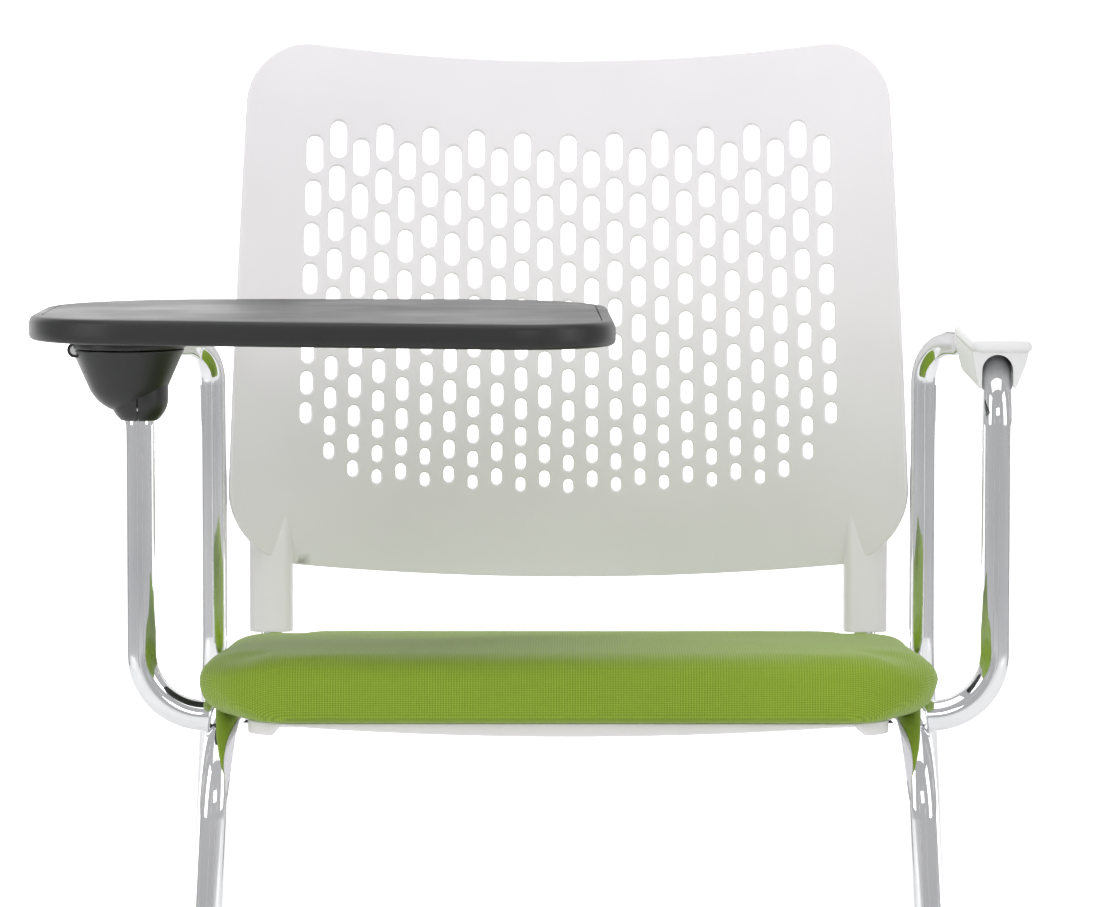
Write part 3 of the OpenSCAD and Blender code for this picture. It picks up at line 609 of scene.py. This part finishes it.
seat = {
    "slope": 3, "hingeY": -188, "railHeight": 431,
    "panHalf": 202.5, "panFlare": 3, "panFront": -208, "panRear": 196, "panLip": 7, "panSheet": 3,
    "bars": [-60, 130], "barHalf": 21,
    "width": 480, "front": -222, "rear": 204, "corner": 62, "widest": 27, "top": 43, "rearDrop": 7.5,
    "bottom": 2, "crown": 2.0, "voxel": 5, "pressure": 4, "puff": 2.2,
}


# Point of the sloping seat, in chair millimetres.
def onSeat(x, y, z):
    a = math.radians(seat["slope"])
    along = y - seat["hingeY"]
    return place(x, seat["hingeY"] + along * math.cos(a) + z * math.sin(a),
                 seat["railHeight"] - along * math.sin(a) + z * math.cos(a))


def smooth(value, low, high):
    t = min(max((value - low) / (high - low), 0), 1)
    return t * t * (3 - 2 * t)


# Round rectangle with points along its sides too.
def denseRectangle(width, depth, radius, spacing=6):
    corners = roundRectangle(width, depth, radius, 12)
    points = []
    for (ax, ay), (bx, by) in zip(corners, corners[1:] + corners[:1]):
        count = max(1, round(math.hypot(bx - ax, by - ay) / spacing))
        points += [(ax + (bx - ax) * k / count, ay + (by - ay) * k / count) for k in range(count)]
    return points


# White tray under the seat: its front lip bellies down in the middle and ends in a lobe by each elbow.
def makePan():
    depth = seat["panRear"] - seat["panFront"]
    middle = (seat["panRear"] + seat["panFront"]) / 2
    outline = denseRectangle(2 * seat["panHalf"], depth, 40)

    def lipBottom(x, y):
        # the sides are let in over the cross bars
        if abs(x) > 150 and any(abs(y - bar) < seat["barHalf"] for bar in seat["bars"]):
            return -0.8
        belly = -seat["panLip"] * (1 - (abs(x) / 184) ** 2)
        front = belly + (-seat["panLip"] - belly) * smooth(abs(x), 180, 188)
        rearward = smooth(y, seat["panFront"] + 60, seat["panFront"] + 120)
        return front + (-seat["panLip"] + 1 - front) * rearward

    profile = [(2, 2, 0), (0.5, 1.7, 0), (0, 0.9, 0), (0, 1, 1), (0.4, 0.3, 1), (1.3, 0, 1),
               (2.4, 0.3, 1), (seat["panSheet"], 1, 1), (seat["panSheet"] + 0.2, -1.4, 0), (6, -1, 0)]
    rings = []
    for inset, height, fromLip in profile:
        ring = []
        for x, y in outline:
            flare = seat["panFlare"] * (0.5 - y / depth)
            nx = x * (1 + (flare - inset) / seat["panHalf"])
            ny = y * (1 - inset / (depth / 2)) + middle
            low = lipBottom(x, y + middle)
            ring.append(onSeat(nx, ny, low + height if fromLip else height))
        rings.append(ring)
    points, faces = loft(rings)
    addPiece("seatPan", points, faces, whitePlastic, "chair_frame",
             ["seat_pan"], sharpAngle=60)


# Upholstered slab: upright front, long underslung flanks, eased top edge and a slight crown.
def cushionRings():
    depth = seat["rear"] - seat["front"]
    middle = (seat["rear"] + seat["front"]) / 2
    outline = denseRectangle(seat["width"], depth, seat["corner"], 8)
    rings = []

    def ring(share, low, rise):
        made = []
        for x, y in outline:
            flank = smooth(abs(x), seat["width"] / 2 - 50, seat["width"] / 2 - 4)
            rear = smooth(y, depth / 2 - 50, depth / 2 - 4)
            if low:
                power = 2 / (2.2 - 0.25 * max(flank, rear))
                reach = 5 + 25 * flank + 14 * rear
                drop = seat["widest"] - seat["bottom"]
            else:
                power = 2 / 2.1
                reach = 13 + 14 * flank + 16 * rear
                drop = seat["widest"] - seat["top"] + seat["rearDrop"] * smooth(y, -depth / 2, depth / 2)
            inset = reach * (1 - math.cos(share * math.pi / 2) ** power)
            z = seat["widest"] - drop * math.sin(share * math.pi / 2) ** power
            kx = 1 - inset / (seat["width"] / 2)
            ky = 1 - inset / (depth / 2)
            shrink = 1 - rise
            crown = seat["crown"] * (1 - shrink ** 2) if not low else 0
            made.append(onSeat(x * kx * shrink, y * ky * shrink + middle, z + crown))
        return made

    for rise in (0.85, 0.6, 0.3, 0.12):
        rings.append(ring(1, True, rise))
    for share in (1, 0.85, 0.7, 0.55, 0.4, 0.25, 0.12):
        rings.append(ring(share, True, 0))
    for share in (0, 0.15, 0.3, 0.45, 0.6, 0.75, 0.88, 1):
        rings.append(ring(share, False, 0))
    for rise in (0.06, 0.14, 0.25, 0.4, 0.6, 0.8, 0.92):
        rings.append(ring(1, False, rise))
    return rings


def makeCushion():
    points, faces = loft(cushionRings())
    cushion = addPiece("seatCushion", points, faces, cloth, "chair_frame", ["seat_cushion"])
    cushion.modifiers.clear()
    rest = cushion.data.copy()
    trial = bpy.data.objects.new("cushionTrial", rest)
    scene.collection.objects.link(trial)
    remesh = trial.modifiers.new("even", "REMESH")
    remesh.mode = "VOXEL"
    remesh.voxel_size = seat["voxel"] / 1000
    graph = bpy.context.evaluated_depsgraph_get()
    even = bpy.data.meshes.new_from_object(trial.evaluated_get(graph))
    trial.modifiers.clear()
    trial.data = even
    start = np.array([v.co for v in even.vertices])
    held = trial.vertex_groups.new(name="held")
    low = start.min(0)
    slope = math.tan(math.radians(seat["slope"]))
    level = start[:, 2] + (start[:, 1] - low[1]) * slope
    held.add([int(i) for i in np.where(level < level.min() + 0.012)[0]], 1.0, "REPLACE")
    simulate = trial.modifiers.new("cloth", "CLOTH")
    settings = simulate.settings
    settings.quality = 6
    settings.mass = 0.35
    settings.tension_stiffness = 25
    settings.compression_stiffness = 25
    settings.shear_stiffness = 12
    settings.bending_stiffness = 3
    settings.use_pressure = True
    settings.uniform_pressure_force = seat["pressure"]
    settings.vertex_group_mass = "held"
    settings.shrink_min = -0.004
    settings.effector_weights.gravity = 0
    simulate.point_cache.frame_start = 1
    simulate.point_cache.frame_end = 20
    for number in range(1, 21):
        scene.frame_set(number)
    graph = bpy.context.evaluated_depsgraph_get()
    settled = bpy.data.meshes.new_from_object(trial.evaluated_get(graph))
    moved = np.array([v.co for v in settled.vertices]) - start
    far = np.linalg.norm(moved, axis=1)
    limit = seat["puff"] / 1000
    share = np.where(far > limit, limit / np.maximum(far, 1e-9), 1.0)
    settled.vertices.foreach_set("co", (start + moved * share[:, None]).astype(np.float32).ravel())
    settled.update()
    bpy.data.objects.remove(trial)
    scene.frame_set(1)
    settled.materials.clear()
    settled.materials.append(cloth)
    settled.shade_smooth()
    cushion.data = settled
    relax = cushion.modifiers.new("relax", "SMOOTH")
    relax.iterations = 4
    finer = cushion.modifiers.new("finer", "SUBSURF")
    finer.levels = finer.render_levels = 1
    return cushion


makePan()
makeCushion()
print("seat made")


# Tablet

tablet = {
    "corners": [(-266, -145, 80), (-28, -215, 58), (-78, -50, 105), (-236, -55, 110)],
    "bottom": 674, "top": 690, "edge": 9,
    "swivelX": -284.8, "swivelY": -118, "hingeX": -317.8, "hingeZ": 666,
    "discRadius": 37, "plateLow": 666.5, "plateHigh": 670.6,
}


# Outline of the writing board: four corner arcs joined by straight tangents, pulled in by inset.
def tabletLoop(inset):
    corners = tablet["corners"]
    tangents = []
    for i, (x, y, r) in enumerate(corners):
        nextX, nextY, nextR = corners[(i + 1) % len(corners)]
        length = math.hypot(nextX - x, nextY - y)
        tangents.append(math.atan2(nextY - y, nextX - x) - math.acos((r - nextR) / length))
    loop = []
    for i, (x, y, r) in enumerate(corners):
        start, stop = tangents[i - 1], tangents[i]
        while stop < start:
            stop += 2 * math.pi
        for a in arc(start, stop, 26):
            loop.append((x + (r - inset) * math.cos(a), y + (r - inset) * math.sin(a)))
    return loop


def makeTablet():
    low, high = tablet["bottom"], tablet["top"]
    rim = [(8.7, low + 0.3), (4.0, low), (2.4, low + 0.3), (0.9, low + 1.3), (0.1, low + 3.2), (0, low + 6),
           (0.2, high - 5), (0.8, high - 2.8), (1.8, high - 1.2), (3.2, high - 0.4), (5, high - 0.05),
           (8.0, high), (8.5, high - 0.2), (8.7, high - 0.9)]
    rings = [[place(x, y, z) for x, y in tabletLoop(inset)] for inset, z in rim]
    points, faces = loft(rings, closeRings=True)
    addPiece("tabletRim", points, faces, edgePlastic, "tablet", ["tablet_rim"], sharpAngle=70)
    board = [(40, low + 0.4), (9.6, low + 0.4), (9.1, low + 0.9), (9.1, high - 0.8), (9.3, high - 0.25),
             (9.9, high), (40, high)]
    rings = [[place(x, y, z) for x, y in tabletLoop(inset)] for inset, z in board]
    points, faces = loft(rings)
    addPiece("tabletBoard", points, faces, laminate, "tablet",
             ["tablet_board"], sharpAngle=70)


# Round plate with eased edges about the swivel.
def addDisc(name, body, low, high, radius, ease, node, material):
    x, y = tablet["swivelX"], tablet["swivelY"]
    profile = [(radius - ease, low), (radius - ease * 0.3, low + ease * 0.3), (radius, low + ease),
               (radius, high - ease), (radius - ease * 0.3, high - ease * 0.3), (radius - ease, high)]
    points, faces = loft(revolve(profile, (x, y), 96))
    addPiece(name, points, faces, material, body, [node], sharpAngle=75)


# The plate that flips the tablet up, with its knuckle round the hinge pin.
def makeFlipPlate():
    x, y = tablet["swivelX"], tablet["swivelY"]
    low, high = tablet["plateLow"], tablet["plateHigh"]
    radius = tablet["discRadius"] + 0.4
    profile = [(radius - 1.4, low), (radius - 0.4, low + 0.4), (radius, low + 1.4),
               (radius, high - 0.6), (radius - 0.3, high - 0.2), (radius - 1, high)]
    points, faces = loft(revolve(profile, (x, y), 96))
    knuckle = []
    for along in (-8, -7.6, 7.6, 8):
        r = 4.6 if abs(along) == 8 else 5
        ring = [(tablet["hingeX"] + r * math.cos(a), tablet["hingeZ"] + r * math.sin(a))
                for a in arc(0, 2 * math.pi, 32)[:-1]]
        knuckle.append([place(px, y + along, pz) for px, pz in ring])
    more, moreFaces = loft(knuckle, first=len(points))
    addPiece("flipPlate", points + more, faces + moreFaces, blackPlastic, "tablet_hinge",
             ["flip_plate"], sharpAngle=75)


# Bowl under the tablet: a round bottom that opens into a cone.
def makeCover():
    ballRadius, ballHeight, wall = 28, 652.5, 2.5
    angles = [math.radians(a) for a in arc(-90, -23, 14)]
    outer = [(max(ballRadius * math.cos(a), 0.05), ballHeight + ballRadius * math.sin(a)) for a in angles]
    outer += [(30.2, 651.6), (34.4, 661.2), (36.2, 664.9), (36.4, 665.6), (36.0, 666)]
    inner = [(34.2, 666), (33.9, 665.4), (31.6, 660.8), (27.6, 651.8)]
    inner += [(max((ballRadius - wall) * math.cos(a), 0.05), ballHeight + (ballRadius - wall) * math.sin(a))
              for a in angles[::-1]]
    points, faces = loft(revolve(outer + inner, (tablet["swivelX"], tablet["swivelY"]), 96), capStart=False,
                         capEnd=False)
    addPiece("hingeCover", points, faces, blackPlastic, "chair_frame", ["hinge_cover"],
             sharpAngle=65)


clamp = {"x": -277.5, "y": -120, "radius": 18.5, "ballHeight": 634.5, "top": 648, "bore": 10.15, "gap": 0.35}


# Half of the round-bottomed clamp. side is -1 for the outer half, which carries the hinge lugs.
def makeClampHalf(name, side, node):
    r, bore, ball = clamp["radius"], clamp["bore"], clamp["ballHeight"]
    begin = -math.acos((bore + 1.2) / r)
    profile = [(bore, ball + r * math.sin(begin) + 1.4), (bore + 0.3, ball + r * math.sin(begin) + 0.4)]
    profile += [(r * math.cos(a), ball + r * math.sin(a)) for a in arc(begin, 0, 14)]
    profile += [(r, clamp["top"] - 0.6), (r - 0.6, clamp["top"]), (bore, clamp["top"])]
    first, last = (-90, 90) if side > 0 else (90, 270)
    rings = []
    for a in [math.radians(v) for v in arc(first, last, 36)]:
        middle = clamp["x"] + side * clamp["gap"]
        rings.append([place(middle + d * math.cos(a), clamp["y"] + d * math.sin(a), z) for d, z in profile])
    points, faces = loft(rings)
    if side < 0:
        for way in (-1, 1):
            lug = []
            for along in (8.4, 8.8, 14.8, 15.2):
                ease = 0.4 if along in (8.4, 15.2) else 0
                lugRadius = 5 - ease
                hingeX, hingeZ = tablet["hingeX"], tablet["hingeZ"]
                shape = [(hingeX + lugRadius * math.cos(a), hingeZ + lugRadius * math.sin(a))
                         for a in arc(math.pi / 2, 3 * math.pi / 2, 16)]
                shape += [(tablet["hingeX"] + 12, tablet["hingeZ"] - 5 + ease),
                          (tablet["hingeX"] + 12, tablet["hingeZ"] - 0.6)]
                lug.append([place(x, tablet["swivelY"] + way * along, z) for x, z in shape])
            more, moreFaces = loft(lug, first=len(points))
            points += more
            faces += moreFaces
        inner = clamp["x"] - bore - 2
        x, y = tablet["swivelX"], tablet["swivelY"]
        for corner, width, depth, low, high in (
                ((x - 16 + inner) / 2, inner - x + 16, 16, 640, 655),
                ((tablet["hingeX"] + 6 + inner) / 2, inner - tablet["hingeX"] - 6, 30.6, 651, 655)):
            block = []
            for ease, z in ((0.5, low), (0, low + 0.5), (0, high - 0.5), (0.5, high)):
                block.append([place(corner + px, y + py, z) for px, py in
                              roundRectangle(width - 2 * ease, depth - 2 * ease, 1.2)])
            more, moreFaces = loft(block, first=len(points))
            points += more
            faces += moreFaces
    addPiece(name, points, faces, blackPlastic, "chair_frame", [node], sharpAngle=50)


makeTablet()
addDisc("swivelPlate", "tablet", 671.5, 674.2, 36, 0.5, "swivel_plate", blackPlastic)
makeFlipPlate()
makeCover()
makeClampHalf("clampOuterHalf", -1, "clamp_outer_half")
makeClampHalf("clampInnerHalf", 1, "clamp_inner_half")
print("tablet and hinge made")


# Arm pad

armPad = {
    "x": 277.5, "y": -120, "z": 652, "turn": -0.96, "shift": 3, "length": 210, "width": 40,
    "top": 19.5, "slab": 8, "low": -12,
}


def onArm(x, y, z):
    a = math.radians(armPad["turn"])
    return place(armPad["x"] + x * math.cos(a) - y * math.sin(a),
                 armPad["y"] + x * math.sin(a) + y * math.cos(a), armPad["z"] + z)


# Slab that the forearm rests on, over a body that tapers down to clasp the tube.
def makeArmPad():
    top, slab = armPad["top"], armPad["slab"]
    outline = denseRectangle(armPad["width"], armPad["length"], 7, 12)
    rings = []
    for inset, z in ((3.5, top - slab), (1.4, top - slab + 0.5), (0.4, top - slab + 1.6), (0, top - slab + 3),
                     (0.5, top - 2.6), (1.4, top - 1.1), (2.8, top - 0.3), (5, top), (9, top - 0.3)):
        kx = 1 - inset / (armPad["width"] / 2)
        ky = 1 - inset / (armPad["length"] / 2)
        rings.append([onArm(x * kx + armPad["shift"], y * ky + armPad["length"] / 2 - 3, z)
                      for x, y in outline])
    points, faces = loft(rings)
    # the body is a skin round the tube: outer flanks, rounded lower lips, and a bore
    section = []
    section += [(-16.5, 12.5), (-15.4, 4), (-13.6, -5), (-12.2, -10.4), (-11.4, armPad["low"]), (-10.4, -11)]
    section += [(-10.3 * math.cos(a), 10.3 * math.sin(a)) for a in arc(0.0, math.pi, 16)]
    section += [(10.4, -11), (11.4, armPad["low"]), (12.6, -10.4), (14.8, -5), (18.4, 4), (20.5, 12.5)]
    stations = [(-1, 0.8), (-0.4, 0.2), (0.6, 0), (34, 0), (100, 0), (armPad["length"] - 12, 0)]
    shell = []
    for along, ease in stations:
        shell.append([onArm(x * (1 - ease * 0.03), along, z) for x, z in section])
    more, moreFaces = loft(shell, first=len(points))
    addPiece("armPad", points + more, faces + moreFaces, padPlastic, "chair_frame",
             ["arm_pad"], sharpAngle=50)


makeArmPad()
print("arm pad made")


# CAD pieces that keep their shape and take a real finish

finishes = {
    "plated_steel": zinc, "chrome": chrome, "white_shell": whitePlastic, "green_fabric": cloth,
    "plywood": beech, "glide_plastic": glidePlastic, "bumper_rubber": rubber, "black_nylon": blackPlastic,
    "white_acetal": acetal, "tablet_laminate": laminate, "tablet_edge": edgePlastic,
}
for subpart in frame["record"]["subparts"]:
    node = frame["nodes"][subpart["node"]]
    for materialSlot in node.material_slots:
        materialSlot.material = finishes[subpart["material_slot"]]
print("CAD pieces finished")


# Studio

studio = {
    "cameraAhead": 3520,
    "cameraHeight": 865,
    "pitch": 4.486,
    "yaw": 0.232,
    "lens": 173.4,
    "floorSize": 16,
}


def addCamera():
    data = bpy.data.cameras.new("camera")
    data.lens = studio["lens"]
    data.sensor_width = 36
    data.clip_end = 60
    camera = bpy.data.objects.new("camera", data)
    camera.location = place(0, -studio["cameraAhead"], studio["cameraHeight"])
    camera.rotation_euler = (math.radians(90 - studio["pitch"]), 0, math.radians(studio["yaw"]))
    scene.collection.objects.link(camera)
    scene.camera = camera


def addLight(name, location, target, size, power, tint="#FFFFFF"):
    data = bpy.data.lights.new(name, "AREA")
    data.shape = "RECTANGLE"
    data.size, data.size_y = size
    data.energy = power
    data.color = toLinear(tint)[:3]
    light = bpy.data.objects.new(name, data)
    light.location = location
    light.rotation_euler = (Vector(target) - Vector(location)).to_track_quat("-Z", "Y").to_euler()
    scene.collection.objects.link(light)


# Flat card in the studio, facing along normal.
def addBoard(name, centre, width, height, normal, material):
    mesh = bpy.data.meshes.new(name)
    w, h = width / 2, height / 2
    mesh.from_pydata([(-w, -h, 0), (w, -h, 0), (w, h, 0), (-w, h, 0)], [], [(0, 1, 2, 3)])
    mesh.materials.append(material)
    board = bpy.data.objects.new(name, mesh)
    board.location = centre
    board.rotation_euler = Vector(normal).to_track_quat("Z", "Y").to_euler()
    scene.collection.objects.link(board)


# Painted board: plain and matt. Its own glow rises away from the chair, as a lit sweep does.
def studioMaterial(name, colour, glowNear, glowFar):
    material, tree, shader, where = newMaterial(name)
    geometry = addNode(tree, "ShaderNodeNewGeometry")
    axes = addNode(tree, "ShaderNodeSeparateXYZ", {0: geometry.outputs["Position"]})
    glow = addNode(tree, "ShaderNodeMapRange", {
        "Value": axes.outputs["Y"], "From Min": 0.3, "From Max": 1.6,
        "To Min": glowNear, "To Max": glowFar})
    mottle = addNode(tree, "ShaderNodeTexNoise", {"Vector": where, "Scale": 3.0})
    setInputs(tree, shader, {
        "Base Color": mixColours(tree, colour, "#FFFFFF", mottle.outputs["Fac"]),
        "Roughness": 0.9,
        "Emission Color": toLinear("#FFFFFF"),
        "Emission Strength": glow.outputs["Result"]})
    return material


addCamera()
floorPaint = studioMaterial("paintedFloor", "#F0F0F0", 0.0, 1.0)
addBoard("studioFloor", (0, 0, 0), studio["floorSize"], studio["floorSize"], (0, 0, 1), floorPaint)
backPaint = studioMaterial("paintedBackdrop", "#F4F4F4", 1.0, 1.0)
addBoard("studioBackdrop", (0, 7, 3), studio["floorSize"], 8, (0, -1, 0), backPaint)
flagPaint = studioMaterial("blackFlock", "#101010", 0.0, 0.0)
for name, x, y, width in (("OuterLeft", -1.9, 0.2, 0.5), ("OuterRight", 1.9, 0.2, 0.5),
                          ("InnerLeft", -1.0, -2.9, 0.24), ("InnerRight", 1.0, -2.9, 0.24)):
    addBoard("studioFlag" + name, (x, y, 0.9), width, 2.6, (-x, -y, 0), flagPaint)
addLight("topSoftbox", (0, -0.3, 2.7), (0, 0, 0.5), (2.6, 2.2), 22)
addLight("leftSoftbox", (-2.4, -1.6, 1.5), (0, 0, 0.6), (1.0, 2.2), 20)
addLight("rightSoftbox", (2.4, -1.6, 1.5), (0, 0, 0.6), (1.0, 2.2), 17)
addLight("frontFill", (0.3, -4.2, 1.9), (0, 0, 0.6), (1.4, 0.9), 16)
world = bpy.data.worlds.new("studioAir")
world.use_nodes = True
world.node_tree.nodes["Background"].inputs["Color"].default_value = toLinear("#F2F2F3")
world.node_tree.nodes["Background"].inputs["Strength"].default_value = 0.55
scene.world = world
scene.view_settings.view_transform = "Standard"

print("studio made")
